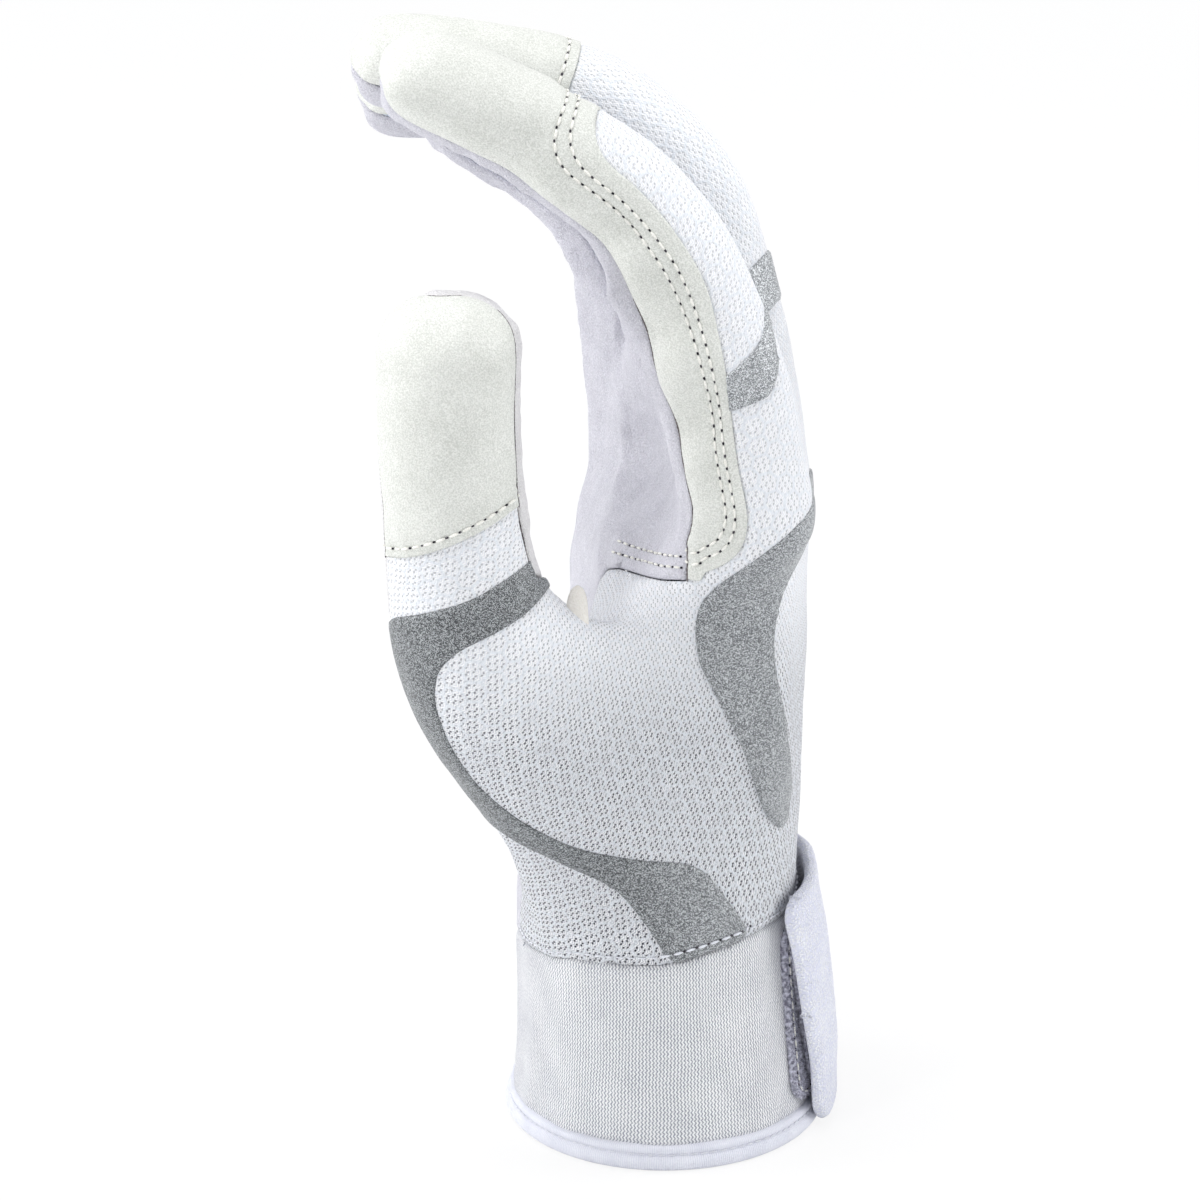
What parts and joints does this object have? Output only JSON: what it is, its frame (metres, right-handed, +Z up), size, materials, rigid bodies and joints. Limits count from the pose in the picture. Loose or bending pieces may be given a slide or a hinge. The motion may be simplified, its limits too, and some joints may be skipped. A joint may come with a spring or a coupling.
{
  "type": "batting glove",
  "caption": "Right-hand batting glove standing on its open cuff, fingers curled as round a handle, with a wrist strap that peels open.",
  "frame": {"origin": "middle of the glove's footprint box, on the surface that the cuff stands on", "axes": "+Z up the forearm to the fingers, +X to the back of the hand, +Y to the little-finger side"},
  "size_m": [0.0898, 0.1008, 0.2163],
  "materials": {
    "mesh_knit": "white open mesh knit with a faint grey honeycomb, matt",
    "palm_leather": "thin goatskin, lavender white, fine grain and soft wrinkles",
    "ivory_synthetic": "smooth ivory synthetic leather, satin, fine creases",
    "silver_overlay": "grey film with a fine silver glitter, on cloth",
    "finger_gusset": "pale blue stretch knit",
    "cuff_elastic": "ribbed elastic knit, light grey white",
    "cuff_binding": "folded binding tape, lavender white",
    "strap_terry": "soft laminated terry, lavender white",
    "hook_tape": "hook and loop tape, grey"
  },
  "bodies": {
    "glove": {"palm_leather": "palm_leather", "thumb_leather": "palm_leather", "back_knit": "mesh_knit", "index_side_panel": "ivory_synthetic", "thumb_cap": "ivory_synthetic", "middle_cap": "ivory_synthetic", "ring_cap": "ivory_synthetic", "little_cap": "ivory_synthetic", "gusset_index_middle": "finger_gusset", "gusset_middle_ring": "finger_gusset", "gusset_ring_little": "finger_gusset", "thumb_overlay": "silver_overlay", "back_overlay": "silver_overlay", "little_side_overlay": "silver_overlay", "index_flash": "silver_overlay", "middle_flash": "silver_overlay", "ring_flash": "silver_overlay", "little_flash": "silver_overlay", "cuff_band": "cuff_elastic", "hem_binding": "cuff_binding", "vent_gusset": "finger_gusset", "cuff_loop_patch": "hook_tape", "strap_anchor": "strap_terry"},
    "strap": {"strap": "strap_terry", "strap_hook_patch": "hook_tape"}
  },
  "joints": [
    {"name": "strap_fold", "type": "hinge", "parent": "glove", "child": "strap", "pos_m": [0.02985, 0.03647, 0.02395], "axis": [-0.0225, -0.0528, 0.9984], "range_deg": [0, 150]}
  ]
}
